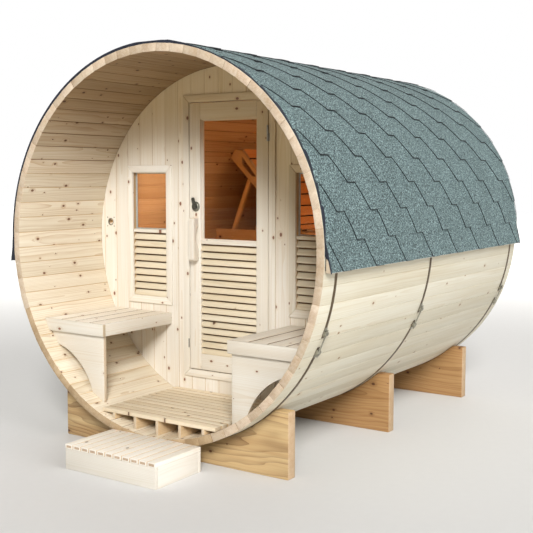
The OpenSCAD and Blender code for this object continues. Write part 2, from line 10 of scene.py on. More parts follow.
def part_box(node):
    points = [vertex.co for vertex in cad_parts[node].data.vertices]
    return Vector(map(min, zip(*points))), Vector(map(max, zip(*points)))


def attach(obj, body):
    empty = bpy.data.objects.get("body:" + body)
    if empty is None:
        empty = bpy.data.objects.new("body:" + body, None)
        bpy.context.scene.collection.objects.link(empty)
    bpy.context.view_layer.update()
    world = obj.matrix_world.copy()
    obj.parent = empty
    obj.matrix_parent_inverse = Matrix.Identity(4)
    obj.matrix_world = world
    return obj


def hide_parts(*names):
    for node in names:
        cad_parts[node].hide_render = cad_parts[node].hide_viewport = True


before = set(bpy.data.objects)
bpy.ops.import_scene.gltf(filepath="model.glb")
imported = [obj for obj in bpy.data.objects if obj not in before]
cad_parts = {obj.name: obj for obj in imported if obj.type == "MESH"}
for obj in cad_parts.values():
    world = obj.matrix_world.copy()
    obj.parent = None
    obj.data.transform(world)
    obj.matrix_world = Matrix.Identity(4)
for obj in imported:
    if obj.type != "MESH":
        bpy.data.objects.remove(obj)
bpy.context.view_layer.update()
scene = bpy.context.scene

# Sizes read from the frame, in metres
front_y, rear_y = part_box("staves_top")[0][1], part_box("staves_top")[1][1]
wall_low, wall_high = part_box("back_wall")
WALL_R = (wall_high[0] - wall_low[0]) / 2
AXIS_Z = (wall_high[2] + wall_low[2]) / 2
OUT_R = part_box("staves_right")[1][0]
wall_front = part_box("front_wall_right")[0][1]

FIT = 0.0003  # gap that the CAD leaves between neighbouring pieces
NEAR = 0.0005  # points closer than this count as level
FACING = 0.8  # a face looks along an axis when this much of its normal does
END_ON = 0.85  # the same for a board's sawn ends

# Directions along, across and through a board
X_ALONG = ((1, 0, 0), (0, 1, 0), (0, 0, 1))
X_UPRIGHT = ((1, 0, 0), (0, 0, 1), (0, 1, 0))
Y_ALONG = ((0, 1, 0), (1, 0, 0), (0, 0, 1))
Z_ALONG = ((0, 0, 1), (1, 0, 0), (0, 1, 0))


# Boards: each solid of a CAD node becomes a bevelled board that knows its own grain

SHARP = math.radians(22)  # edges that turn by more than this are bevelled
TRUNK = 60  # metres of wood that the boards are cut from
PITH_ASIDE = 0.05  # how far the pith may lie to either side of a board
PITH_NEAR, PITH_FAR = 0.012, 0.07  # how far over or under the board it lies


class Boards:
    """Collects boards into one mesh, with the run of the grain and a tone stored in each."""

    def __init__(self, seed):
        self.rng = random.Random(seed)
        self.verts, self.faces, self.grain, self.tone, self.kinds = [], [], [], [], []

    def take(self, bm, bevel, segments=2, place=None, axes=None, sort=None):
        """Bevels a closed bmesh and adds it. axes are the directions along, across and through the board.
        sort gives a face's material from its normal and middle; otherwise sawn ends take the second one."""
        bmesh.ops.recalc_face_normals(bm, faces=bm.faces)
        round_off(bm, SHARP, bevel, segments)
        bm.verts.index_update()
        pts = np.array([v.co[:] for v in bm.verts])
        turn = np.eye(3)
        if place is not None:
            turn = np.array(place)[:3, :3]
            pts = pts @ turn.T + np.array(place)[:3, 3]
        if axes is None:
            axes = main_axes(pts)
        mid = (pts.min(0) + pts.max(0)) / 2
        local = (pts - mid) @ np.array(axes).T
        rng = self.rng
        local += (rng.uniform(0, TRUNK), rng.uniform(-PITH_ASIDE, PITH_ASIDE),
                  rng.choice((-1, 1)) * rng.uniform(PITH_NEAR, PITH_FAR))
        base = len(self.verts)
        self.verts.extend(pts.tolist())
        self.grain.extend(local.tolist())
        self.tone.extend([rng.random()] * len(pts))
        flip = np.linalg.det(turn) < 0
        for f in bm.faces:
            ring = [v.index for v in f.verts]
            normal = turn @ np.array(f.normal)
            if sort:
                kind = sort(normal, pts[ring].mean(0))
            else:
                kind = 1 if abs(normal @ np.array(axes[0])) > END_ON else 0
            self.kinds.append(kind)
            self.faces.append([base + i for i in (ring[::-1] if flip else ring)])
        bm.free()

    def prism(self, outlines, depth, place, axes, bevel, segments, sort):
        """A flat outline, or several that share edges, given a thickness along the third axis."""
        bm = bmesh.new()
        known = {}
        faces = []
        for outline in outlines:
            ring = []
            for u, v in outline:
                key = (round(u, 6), round(v, 6))
                if key not in known:
                    known[key] = bm.verts.new((u, v, 0))
                if not ring or ring[-1] is not known[key]:
                    ring.append(known[key])
            if ring[0] is ring[-1]:
                ring.pop()
            faces.append(bm.faces.new(ring))
        thicken(bm, faces, depth)
        self.take(bm, bevel, segments, place, axes, sort)

    def finish(self, name, materials, body, nodes=(), slot=None):
        """Makes the mesh, shades it and hands it to the frame."""
        mesh = bpy.data.meshes.new(name)
        mesh.from_pydata(self.verts, [], self.faces)
        mesh.attributes.new("grain", "FLOAT_VECTOR", "POINT").data.foreach_set(
            "vector", np.array(self.grain, dtype=np.float32).ravel())
        mesh.attributes.new("tone", "FLOAT", "POINT").data.foreach_set(
            "value", np.array(self.tone, dtype=np.float32))
        mesh.polygons.foreach_set("material_index", [min(k, len(materials) - 1) for k in self.kinds])
        present(name, mesh, materials, body, nodes)


def round_off(bm, turn, offset, segments):
    """Bevels the edges that turn by more than an angle."""
    sharp = [e for e in bm.edges if e.calc_face_angle(0) > turn]
    bmesh.ops.bevel(bm, geom=sharp, offset=offset, segments=segments, profile=0.5,
                    affect="EDGES", clamp_overlap=True)


def thicken(bm, faces, depth):
    """Draws flat faces out along the third axis."""
    grown = bmesh.ops.extrude_face_region(bm, geom=faces)["geom"]
    bmesh.ops.translate(bm, vec=(0, 0, depth), verts=[g for g in grown if isinstance(g, bmesh.types.BMVert)])


def present(name, mesh, materials, body, nodes=(), smooth=35):
    """A mesh as a piece of the object, on its body and in place of its CAD nodes."""
    for m in materials:
        mesh.materials.append(m)
    mesh.polygons.foreach_set("use_smooth", [True] * len(mesh.polygons))
    mesh.set_sharp_from_angle(angle=math.radians(smooth))
    mesh.update()
    obj = bpy.data.objects.new(name, mesh)
    scene.collection.objects.link(obj)
    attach(obj, body)
    if nodes:
        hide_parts(*nodes)
    return obj


def main_axes(pts):
    """Directions along, across and through a cloud of points."""
    return np.linalg.svd(pts - pts.mean(0), full_matrices=False)[2]


def solids(node):
    """The separate solids of a CAD node, each a closed bmesh with its flat faces whole."""
    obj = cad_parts[node]
    bm = bmesh.new()
    bm.from_mesh(obj.data)
    bm.transform(obj.matrix_world)
    bmesh.ops.remove_doubles(bm, verts=bm.verts, dist=0.00002)
    bmesh.ops.dissolve_limit(bm, angle_limit=math.radians(0.3), verts=bm.verts, edges=bm.edges)
    seen = set()
    parts = []
    for start in bm.verts:
        if start in seen:
            continue
        stack, group = [start], []
        seen.add(start)
        while stack:
            v = stack.pop()
            group.append(v)
            for e in v.link_edges:
                w = e.other_vert(v)
                if w not in seen:
                    seen.add(w)
                    stack.append(w)
        part = bmesh.new()
        copy = {v: part.verts.new(v.co) for v in group}
        # In a fixed order, so that each run gives the same grain
        for f in dict.fromkeys(f for v in group for f in v.link_faces):
            part.faces.new([copy[v] for v in f.verts])
        parts.append(part)
    bm.free()
    return parts


def dress(node, materials, body, slot, bevel, seed, axes=None, segments=2, sort=None):
    """A CAD node's solids as bevelled boards."""
    boards = Boards(seed)
    for part in solids(node):
        boards.take(part, bevel, segments, axes=axes, sort=sort)
    boards.finish("look_" + node, materials, body, [node], slot)


# Materials

class Graph:
    """A material's nodes, written as a sum."""

    def __init__(self, name):
        self.mat = bpy.data.materials.new(name)
        self.mat.use_nodes = True
        self.tree = self.mat.node_tree
        self.tree.nodes.clear()

    def node(self, kind, sockets=(), **props):
        """A new node. sockets are the values or links of its inputs, by name or number."""
        n = self.tree.nodes.new("ShaderNode" + kind)
        for k, v in props.items():
            setattr(n, k, v)
        for k, v in dict(sockets).items():
            self.put(n.inputs[k], v)
        return n

    def put(self, socket, value):
        if isinstance(value, bpy.types.NodeSocket):
            self.tree.links.new(value, socket)
        else:
            socket.default_value = value

    def math(self, op, a, b=0.0, clamp=False):
        return self.node("Math", {0: a, 1: b}, operation=op, use_clamp=clamp).outputs[0]

    def times(self, a, b, clamp=False):
        return self.math("MULTIPLY", a, b, clamp)

    def plus(self, a, b):
        return self.math("ADD", a, b)

    def less(self, a, b):
        return self.math("SUBTRACT", a, b)

    def length(self, a, b):
        return self.math("SQRT", self.plus(self.times(a, a), self.times(b, b)))

    def mix(self, fac, a, b, blend="MIX"):
        return self.node("Mix", {0: fac, 6: a, 7: b}, data_type="RGBA", blend_type=blend).outputs[2]

    def vec(self, x, y, z):
        return self.node("CombineXYZ", {0: x, 1: y, 2: z}).outputs[0]

    def split(self, v):
        return self.node("SeparateXYZ", {0: v}).outputs[:3]

    def attribute(self, name, output):
        return self.node("Attribute", attribute_name=name).outputs[output]

    def place(self):
        return self.node("TexCoord").outputs["Object"]

    def noise(self, v, scale, detail=2.0, rough=0.5):
        sockets = {"Vector": v, "Scale": scale, "Detail": detail, "Roughness": rough}
        return self.node("TexNoise", sockets).outputs["Fac"]

    def cells(self, v, scale, dims="3D"):
        """Distance to the nearest of a scatter of points, and a number drawn for that point."""
        n = self.node("TexVoronoi", {"Vector": v, "Scale": scale}, voronoi_dimensions=dims)
        return n.outputs["Distance"], self.split(n.outputs["Color"])[0]

    def remap(self, v, a, b, c=0.0, d=1.0, soft=False):
        """Takes the range from a to b to the range from c to d."""
        kind = "SMOOTHSTEP" if soft else "LINEAR"
        return self.node("MapRange", enumerate((v, a, b, c, d)), interpolation_type=kind).outputs[0]

    def bump(self, height, strength, distance):
        sockets = {"Strength": strength, "Distance": distance, "Height": height}
        return self.node("Bump", sockets).outputs[0]

    def surface(self, colour, rough, sockets):
        n = self.node("BsdfPrincipled", {"Base Color": colour, "Roughness": rough, **sockets})
        self.close(n.outputs[0])

    def close(self, shader):
        out = self.node("OutputMaterial")
        self.tree.links.new(shader, out.inputs["Surface"])


def rgb(r, g, b):
    """A colour given as 0 to 255 on screen."""
    screen = [c / 255 for c in (r, g, b)]
    return (*(c / 12.92 if c < 0.04045 else ((c + 0.055) / 1.055) ** 2.4 for c in screen), 1)


LIT_MIDDLE_X, LIT_MIDDLE_Z = -0.47, -0.48  # middle of the pool of daylight in the porch, from the axis; wood away from it gets painted shade


def wood(name, light, deep, ring, knot=(84, 44, 24), knots=0.3, rings=0.5, spacing=150.0, vary=0.14,
         wave=0.034, painted_shade=None):
    """Sawn softwood: growth rings round a pith beside the board, streaks along it, knots here and there.
    spacing is in rings to the metre. The last argument paints shade on the wood up under the roof, away from the
    pool of daylight: from which distance to which, and the tint of the painted shade there."""
    light, deep, ring, knot = (rgb(*c) for c in (light, deep, ring, knot))
    g = Graph(name)
    tone = g.attribute("tone", "Fac")
    x, y, z = g.split(g.attribute("grain", "Vector"))

    def drawn(along, across, detail, rough=0.5):
        """Noise drawn out along the board."""
        return g.noise(g.vec(g.times(x, along), g.times(y, across), g.times(z, across)), 1.0, detail, rough)

    # Knots, with a halo of bent grain round each
    far, chance = g.cells(g.vec(g.times(x, 8.0), g.times(y, 12.0), 0.0), 1.0, "2D")
    real = g.math("GREATER_THAN", chance, 1.0 - knots)
    size = g.times(real, g.remap(chance, 1.0 - knots, 1.0, 0.025, 0.1))
    core = g.times(g.less(size, far), 55.0, True)
    halo = g.times(g.less(g.times(size, 2.8), far), 6.0, True)

    # Rings, each ending in a dark line of late wood
    bend = g.plus(g.times(drawn(0.9, 5.0, 3.0), wave), g.times(halo, 0.008))
    depth = g.plus(g.length(y, z), bend)
    late = g.math("POWER", g.math("FRACT", g.times(depth, spacing)), 3.0)

    streak = drawn(1.8, 70.0, 3.0, 0.6)
    broad = drawn(1.1, 16.0, 2.0)
    mixed = g.plus(g.times(g.remap(broad, 0.3, 0.7), 0.55), g.times(g.remap(streak, 0.32, 0.68), 0.45))
    colour = g.mix(mixed, light, deep)
    colour = g.mix(g.times(late, g.times(g.remap(broad, 0.25, 0.75, 0.3, 1.0), rings)), colour, ring)
    colour = g.mix(g.times(halo, 0.4), colour, ring)
    colour = g.mix(g.times(core, 0.92), colour, knot)
    shade = g.remap(tone, 0.0, 1.0, 1.0 - vary, 1.0)
    shades = g.vec(shade, g.math("POWER", shade, 1.1), g.math("POWER", shade, 1.35))
    colour = g.mix(1.0, colour, shades, "MULTIPLY")
    # Painted shade: the wood darkens and warms up under the roof, away from where the daylight falls in the porch
    if painted_shade:
        start, full, tint = painted_shade
        px, _, pz = g.split(g.place())
        reach = g.length(g.less(px, LIT_MIDDLE_X), g.less(pz, AXIS_Z + LIT_MIDDLE_Z))
        shaded = g.mix(1.0, colour, tint, "MULTIPLY")
        colour = g.mix(g.remap(reach, start, full, 0.0, 1.0, True), colour, shaded)
    height = g.less(g.plus(g.times(late, 0.6), streak), core)
    g.surface(colour, g.remap(streak, 0.2, 0.8, 0.5, 0.74), {"Normal": g.bump(height, 0.25, 0.0012)})
    return g.mat


def granules(name):
    """Mineral grit on a bitumen shingle: crushed stone from dark to pale, with a strip of painted shade along the
    cut edges.
    """
    g = Graph(name)
    at = g.place()
    far, pick = g.cells(at, 300.0)
    coarse = g.noise(at, 145.0, 2.0, 0.75)
    cloud = g.noise(at, 7.0, 3.0)
    colour = g.mix(g.remap(pick, 0.15, 0.85), rgb(67, 82, 85), rgb(109, 131, 132))
    colour = g.mix(g.remap(coarse, 0.52, 0.6), colour, rgb(38, 49, 54))
    colour = g.mix(g.remap(coarse, 0.46, 0.37), colour, rgb(149, 172, 173))
    shade_strip = g.plus(g.attribute("edge_shade", "Fac"), g.times(g.less(coarse, 0.5), 0.5))
    colour = g.mix(g.remap(shade_strip, 0.5, 0.8), colour, rgb(32, 39, 43))
    tone = g.remap(g.attribute("tone", "Fac"), 0.0, 1.0, 0.96, 1.03)
    shade = g.times(tone, g.remap(cloud, 0.3, 0.7, 0.93, 1.05))
    colour = g.mix(1.0, colour, g.vec(shade, shade, shade), "MULTIPLY")
    g.surface(colour, g.remap(pick, 0.0, 1.0, 0.72, 0.95), {"Normal": g.bump(far, 0.5, 0.002)})
    return g.mat


def speckled(name, dark, pale, rough, scale=400.0, bump=0.2, metallic=0.0):
    """A plain finish broken up by fine and broad unevenness."""
    g = Graph(name)
    at = g.place()
    fine = g.noise(at, scale, 3.0)
    both = g.plus(g.times(fine, 0.6), g.times(g.noise(at, scale / 25), 0.4))
    g.surface(g.mix(g.remap(both, 0.35, 0.65), rgb(*dark), rgb(*pale)),
              g.remap(both, 0.3, 0.7, rough - 0.07, rough + 0.09),
              {"Normal": g.bump(fine, bump, 0.0008), "Metallic": metallic})
    return g.mat


def bronze_glass(name):
    """Toughened bronze glass that lets the light through it to the cabin."""
    g = Graph(name)
    at = g.place()
    wave = g.remap(g.noise(at, 3.0, 1.0), 0.3, 0.7)
    pane = g.node("BsdfPrincipled", {
        "Base Color": g.mix(wave, rgb(202, 166, 136), rgb(210, 174, 144)),
        "Roughness": g.remap(g.noise(at, 40.0), 0.3, 0.7, 0.0, 0.012),
        "IOR": 1.12,
        "Transmission Weight": 1.0,
    })
    clear = g.node("BsdfTransparent", {"Color": g.mix(wave, rgb(150, 98, 56), rgb(158, 106, 62))})
    shadow = g.node("LightPath").outputs["Is Shadow Ray"]
    both = g.node("MixShader", {0: shadow, 1: pane.outputs[0], 2: clear.outputs[0]})
    g.close(both.outputs[0])
    return g.mat


CLEAR = 0.001  # next to no knots

# Faces of boards: name, pale and deep colour, colour of the rings
STAVE = wood("stave_outside", (224, 221, 207), (214, 206, 184), (200, 180, 148), knot=(142, 112, 84),
             knots=0.16, vary=0.16)
# The porch side of the staves, the wall boards and the casings get painted shade up under the roof
INSIDE = wood("stave_inside", (236, 228, 211), (221, 205, 178), (188, 154, 113), knot=(104, 60, 36),
              knots=0.54, rings=0.78, spacing=120.0, vary=0.16, wave=0.06,
              painted_shade=(0.8, 1.28, (0.41, 0.3, 0.18, 1)))
HEATED = wood("stave_cabin", (226, 204, 170), (208, 178, 136), (168, 126, 84), rings=0.6, vary=0.16)
BOARDS = wood("wall_spruce", (238, 234, 227), (231, 222, 207), (209, 186, 151), knot=(118, 66, 40),
              knots=0.56, vary=0.08, painted_shade=(0.82, 1.26, (0.76, 0.63, 0.4, 1)))
FRAME = wood("frame_spruce", (236, 231, 222), (229, 221, 206), (210, 189, 157), knot=(118, 66, 40),
             knots=0.4, vary=0.07, painted_shade=(0.84, 1.28, (0.66, 0.53, 0.33, 1)))
LOUVRE = wood("louvre_spruce", (229, 219, 198), (218, 202, 172), (198, 172, 132), knots=0.1, vary=0.09)
PINE = wood("pale_spruce", (240, 235, 226), (233, 223, 206), (210, 186, 150), knot=(126, 72, 44),
            knots=0.26, vary=0.08)
TRIM = wood("trim_spruce", (229, 225, 216), (222, 213, 198), (205, 185, 154), knot=(126, 72, 44),
            knots=0.24, vary=0.07)
STEP = wood("step_spruce", (243, 239, 232), (236, 229, 217), (220, 203, 178), knots=0.14, vary=0.05)
BOX = wood("step_side_spruce", (226, 222, 214), (218, 212, 201), (202, 188, 166), knots=0.14, vary=0.05)
DECK = wood("deck_spruce", (246, 236, 216), (234, 216, 186), (206, 175, 134), knots=0.34, vary=0.12)
CRADLE = wood("cradle_pine", (206, 180, 134), (174, 138, 92), (104, 66, 32), knots=0.34, rings=0.84,
              spacing=44.0, vary=0.08, wave=0.2)
# Darker, more orange wood for the middle and rear cradles: painted shade under the barrel
CRADLE_SHADED = wood("cradle_shaded", (184, 146, 98), (160, 118, 72), (116, 72, 34), knots=0.34, rings=0.66,
                   spacing=52.0, vary=0.08, wave=0.16)
CABIN = wood("lounger_alder", (250, 226, 180), (240, 204, 150), (200, 150, 98), knots=0.1)
SLAT = wood("slat_alder", (252, 200, 142), (242, 176, 112), (204, 134, 78), knots=0.1)

# Sawn ends
CRADLE_END = wood("cradle_end", (202, 178, 148), (186, 156, 120), (160, 122, 88), knots=CLEAR, rings=0.7)
SAWN = wood("sawn_end", (222, 210, 188), (208, 188, 162), (184, 152, 122), knots=CLEAR, rings=0.75, vary=0.18)
RIM = wood("stave_end", (230, 216, 197), (204, 180, 152), (170, 136, 106), knots=CLEAR, rings=0.9, vary=0.24)
# Darker sawn ends for the lower left and bottom staves: painted shade
RIM_SHADED = wood("stave_end_shaded", (208, 186, 154), (182, 154, 118), (146, 112, 78), knots=CLEAR, rings=0.9,
               vary=0.24)
TREAD_END = wood("tread_end", (206, 184, 160), (184, 158, 132), (156, 126, 100), knots=CLEAR, rings=0.7)

# Narrow sides in the joints between boards
JOINT = wood("joint_shadow", (142, 108, 70), (118, 86, 54), (92, 64, 38), knots=CLEAR)
# Painted shadow on the long sides of the lounger slats, between them
SLAT_SHADOW = wood("slat_gap_shadow", (66, 42, 24), (52, 33, 18), (40, 25, 14), knots=CLEAR)
SEAM_AND_SHADE = wood("board_seam_and_shade", (202, 174, 134), (186, 154, 112), (160, 124, 84), knots=CLEAR)
GROOVE = wood("stave_groove", (228, 203, 166), (214, 184, 142), (190, 154, 112), knots=CLEAR)

SHINGLE = granules("shingle_grit")
BITUMEN = speckled("bitumen_edge", (20, 24, 28), (44, 50, 54), 0.75)
FELT = speckled("roof_felt", (14, 17, 26), (34, 40, 58), 0.6)
BAND = speckled("band_metal", (70, 56, 38), (112, 94, 68), 0.45, 160.0, 0.1, 0.6)
STEEL = speckled("zinc_steel", (112, 110, 98), (172, 170, 156), 0.36, 300.0, 0.12, 0.7)
DARK = speckled("dark_metal", (54, 52, 46), (98, 96, 88), 0.42, 220.0, 0.1, 0.7)
HINGE = speckled("hinge_metal", (128, 124, 112), (170, 166, 152), 0.4, 220.0, 0.1, 0.4)
SEAL = speckled("glazing_seal", (150, 156, 152), (186, 190, 184), 0.5, 260.0, 0.1)
GLASS = bronze_glass("bronze_glass")


def keep(node, material):
    """A CAD node that stays, with a better material."""
    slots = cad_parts[node].data.materials
    slots.clear()
    slots.append(material)


# Barrel

# Groups of staves, anticlockwise from the right: bevel, wood of the sawn ends, wood in the grooves
# Groups in the light take the paler groove wood, groups in shade the darker joint_shadow: painted shade in their
# grooves
STAVES = {
    "staves_right": (0.0005, RIM, GROOVE),
    "staves_upper_right": (0.0005, RIM, JOINT),
    "staves_top": (0.0005, RIM, JOINT),
    "staves_upper_left": (0.0005, RIM, JOINT),
    "staves_left": (0.0005, RIM, GROOVE),
    "staves_lower_left": (0.0005, RIM_SHADED, GROOVE),
    "staves_bottom": (0.0009, RIM_SHADED, JOINT),
    "staves_lower_right": (0.0009, RIM, JOINT),
}
UNEVEN = 0.0022  # how far a stave may be sawn short at either end
CUT = 0.001  # points this close to an end belong to it
PORCH_END = wall_front + 0.02  # where the porch side of a stave turns to its cabin side, in the wall


def stave_face(normal, middle):
    """Outside, sawn end, porch side, joint or cabin side of a stave."""
    if abs(normal[1]) > END_ON:
        return 1
    x, z = middle[0], middle[2] - AXIS_Z
    out = (normal[0] * x + normal[2] * z) / math.hypot(x, z)
    if out < -FACING:
        return 2 if middle[1] < wall_front else 4
    return 0 if out > 0.5 else 3


for i, (node, (bevel, end, groove)) in enumerate(STAVES.items()):
    staves = Boards(10 + i)
    for part in solids(node):
        front_cut, rear_cut = staves.rng.uniform(0, UNEVEN), staves.rng.uniform(0, UNEVEN)
        for v in part.verts:
            if v.co.y < front_y + CUT:
                v.co.y += front_cut
            elif v.co.y > rear_y - CUT:
                v.co.y -= rear_cut
        bmesh.ops.bisect_plane(part, geom=part.verts[:] + part.edges[:] + part.faces[:],
                               plane_co=(0, PORCH_END, 0), plane_no=(0, 1, 0))
        staves.take(part, bevel, sort=stave_face)
    staves.finish("look_" + node, [STAVE, end, INSIDE, groove, HEATED], "cabin", [node], "stave_pine")
for i, (node, grain) in enumerate([("front_cradle", CRADLE), ("middle_cradle", CRADLE_SHADED),
                                   ("rear_cradle", CRADLE_SHADED)]):
    dress(node, [grain, CRADLE_END], "cabin", "cradle_wood", 0.004, 30 + i, X_UPRIGHT)
dress("eave_battens", [TRIM, SAWN], "cabin", "pine", 0.0015, 35)
keep("bands", BAND)
keep("roof_underlay", FELT)

# Walls of upright boards, cut round the openings

BOARD = 0.0955  # width of a board
VENT = (-0.882, 0.0803, 0.02)  # x, height over the axis and radius of the vent
SLIVER = 0.01  # a board at the side has to be wider than this
RIM_GAP = 0.002  # the outermost boards end this far from the wall's widest points
WALL_BEVEL = 0.0014


def arc(a, b, sign, n=8):
    """Points on the wall's round edge from x = a to x = b, above or below the axis."""
    xs = [a + (b - a) * i / n for i in range(n + 1)]
    return [(x, sign * math.sqrt(max(WALL_R ** 2 - x * x, 0))) for x in xs]


def strip(x0, x1, cuts):
    """Outlines of the wall board from x0 to x1, round the openings it meets."""
    for c0, c1, z0, z1 in cuts:
        if c0 < x1 - NEAR and c1 > x0 + NEAR:
            if c0 <= x0 and c1 >= x1:
                return [arc(x0, x1, -1) + [(x1, z0), (x0, z0)], [(x0, z1), (x1, z1)] + arc(x1, x0, 1)]
            if c0 > x0:
                return [arc(x0, x1, -1) + [(x1, z0), (c0, z0), (c0, z1), (x1, z1)] + arc(x1, x0, 1)]
            return [arc(x0, x1, -1) + arc(x1, x0, 1) + [(x0, z1), (c1, z1), (c1, z0), (x0, z0)]]
    return [arc(x0, x1, -1) + arc(x1, x0, 1)]


def wall(name, nodes, wood, y0, y1, cuts, seed, hole=None):
    """A round wall of upright boards. hole is the middle and radius of a round vent."""
    boards = Boards(seed)
    place = Matrix(((1, 0, 0, 0), (0, 0, 1, y0), (0, 1, 0, AXIS_Z), (0, 0, 0, 1)))
    joints = [VENT[0] + BOARD * (k - 0.5) for k in range(40)]
    edges = [RIM_GAP - WALL_R] + [x for x in joints if abs(x) < WALL_R - SLIVER] + [WALL_R - RIM_GAP]
    for x0, x1 in zip(edges, edges[1:]):
        # The sides of the boards take the seam wood, and so do the sides of the openings: painted shade on the
        # reveals
        def face(normal, middle):
            edge = min(abs(middle[0] - x0), abs(middle[0] - x1)) < 0.003
            return 2 if abs(normal[0]) > (0.5 if edge else 0.9) else 1 if abs(normal[2]) > END_ON else 0
        groups = [[outline] for outline in strip(x0, x1, cuts)]
        if hole and x0 < hole[0] < x1:
            hx, hz, r = hole
            turn = [(hx + r * math.sin(t), hz - r * math.cos(t)) for t in np.linspace(0, math.pi, 17)]
            back = [(2 * hx - x, z) for x, z in turn]
            right = arc(hx, x1, -1) + arc(x1, hx, 1) + turn[::-1]
            left = arc(x0, hx, -1) + back + arc(hx, x0, 1)
            groups = [[right, left]]
        for outlines in groups:
            boards.prism(outlines, y1 - y0, place, Z_ALONG, WALL_BEVEL, 1, face)
    boards.finish(name, [wood, SAWN, SEAM_AND_SHADE], "cabin", nodes, "pine")


front_low, front_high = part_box("front_wall_right")
sill_top, head_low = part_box("front_wall_sill")[1][2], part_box("front_wall_head")[0][2]
door_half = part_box("front_wall_head")[1][0]
glass_low, glass_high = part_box("window_glass")
win_far, win_top = glass_high[0] + FIT, glass_high[2] + FIT
win_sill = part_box("window_louvres")[0][2] - FIT
win_near = min(abs(v.co[0]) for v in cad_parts["window_glass"].data.vertices) - FIT
CUTS = [
    (-door_half, door_half, sill_top - AXIS_Z, head_low - AXIS_Z),
    (win_near, win_far, win_sill - AXIS_Z, win_top - AXIS_Z),
    (-win_far, -win_near, win_sill - AXIS_Z, win_top - AXIS_Z),
]
wall("look_front_wall", ["front_wall_left", "front_wall_right", "front_wall_head", "front_wall_sill"],
     BOARDS, front_low[1], front_high[1], CUTS, 40, VENT)
wall("look_back_wall", ["back_wall"], PINE, wall_low[1], wall_high[1], [], 41)

# Joinery that follows the CAD solids

for i, (node, face, bevel, axes) in enumerate([
    ("door_casing", FRAME, 0.003, None),
    ("window_casings", FRAME, 0.003, None),
    ("porch_joists", HEATED, 0.002, Y_ALONG),
    ("cabin_joists", PINE, 0.002, Y_ALONG),
    ("cabin_floor", DECK, 0.003, X_ALONG),
    ("bench_panels", TRIM, 0.002, X_UPRIGHT),
    ("bench_fascias", TRIM, 0.004, None),
    ("bench_cleats", PINE, 0.002, None),
    ("step_box", BOX, 0.003, None),
    ("lounger_rails", CABIN, 0.003, None),
    ("lounger_frames", CABIN, 0.003, None),
    ("lounger_struts", CABIN, 0.003, None),
]):
    end, slot = BOX if face is BOX else SAWN, "cabin_wood" if face is CABIN else "pine"
    dress(node, [face, end], "cabin", slot, bevel, 50 + i, axes)


def seat_face(normal, middle):
    """Top, end or long side of a slat that runs along the barrel."""
    return 2 if abs(normal[0]) > FACING else 1 if abs(normal[1]) > FACING else 0


def backing_face(normal, middle):
    """The face behind the louvre slats is dark: painted shade between the slats."""
    return 2 if normal[1] < -FACING else 0


def deck_face(normal, middle):
    """Top, end or long side of a floor slat. The front of the first slat is as pale as its top."""
    if abs(normal[1]) > FACING and middle[1] > floor_front + 0.002:
        return 2
    return 1 if abs(normal[0]) > FACING else 0


dress("bench_seats", [PINE, SAWN, JOINT], "cabin", "pine", 0.003, 70, Y_ALONG, sort=seat_face)
LOUVRE_DROP = 0.0034  # how far the slats' upper faces are lowered, to leave a line of shade
for i, (node, body) in enumerate([("window_louvres", "cabin"), ("door_louvre", "door")]):
    slats = Boards(76 + i)
    for part in solids(node):
        top = max(v.co.z for v in part.verts)
        for v in part.verts:
            if v.co.z > top - NEAR:
                v.co.z -= LOUVRE_DROP
        slats.take(part, 0.0018, axes=X_ALONG)
    slats.finish("look_" + node, [LOUVRE, SAWN], body, [node], "pine")
for i, (node, body) in enumerate([("window_backing", "cabin"), ("door_backing", "door")]):
    dress(node, [PINE, SAWN, JOINT], body, "pine", 0.001, 78 + i, X_UPRIGHT, sort=backing_face)
slats = Boards(80)
for part in solids("lounger_slats"):
    part.normal_update()
    broad = max(part.faces, key=lambda face: face.calc_area()).normal.copy()

    def slat_face(normal, middle):
        if abs(normal[1]) > FACING:
            return 1
        return 0 if abs(normal[0] * broad[0] + normal[2] * broad[2]) > FACING else 2
    slats.take(part, 0.0045, axes=Y_ALONG, sort=slat_face)
slats.finish("look_lounger_slats", [SLAT, SAWN, SLAT_SHADOW], "cabin", ["lounger_slats"], "cabin_wood")
floor_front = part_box("porch_floor")[0][1]
dress("porch_floor", [DECK, SAWN, SEAM_AND_SHADE], "cabin", "pine", 0.002, 71, X_ALONG, sort=deck_face)

# Treads of the step, with a darker tongue showing in the end of each
TONGUE_X, TONGUE_Z = (0, 0.17, 0.83, 1), (0, 0.22, 0.76, 1)  # lines round it, as shares of the end
TONGUE_MID = 0.2  # its middle lies this close to the end's middle, as a share
treads = Boards(72)
tread_low, tread_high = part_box("step_treads")
tread_mid = (tread_low[0] + tread_high[0]) / 2
tread_half = (tread_high[0] - tread_low[0]) / 2 - 0.002
for part in solids("step_treads"):
    pts = np.array([v.co[:] for v in part.verts])
    part.free()
    low, high = pts.min(0), pts.max(0)
    size = high - low
    centre = (low + high) / 2
    us, vs = [size[0] * u for u in TONGUE_X], [size[2] * v for v in TONGUE_Z]
    cells = [[(u0, v0), (u1, v0), (u1, v1), (u0, v1)]
             for u0, u1 in zip(us, us[1:]) for v0, v1 in zip(vs, vs[1:])]

    def tread_face(normal, middle):
        off = abs(middle - centre) / size
        if abs(normal[1]) > END_ON:
            return 1 if off[0] < TONGUE_MID and off[2] < TONGUE_MID else 0
        return 2 if abs(normal[0]) > FACING and abs(middle[0] - tread_mid) < tread_half else 0
    place = Matrix(((1, 0, 0, low[0]), (0, 0, 1, low[1]), (0, 1, 0, low[2]), (0, 0, 0, 1)))
    treads.prism(cells, size[1], place, Y_ALONG, 0.0015, 2, tread_face)
treads.finish("look_step_treads", [STEP, TREAD_END, GROOVE], "cabin", ["step_treads"], "pine")
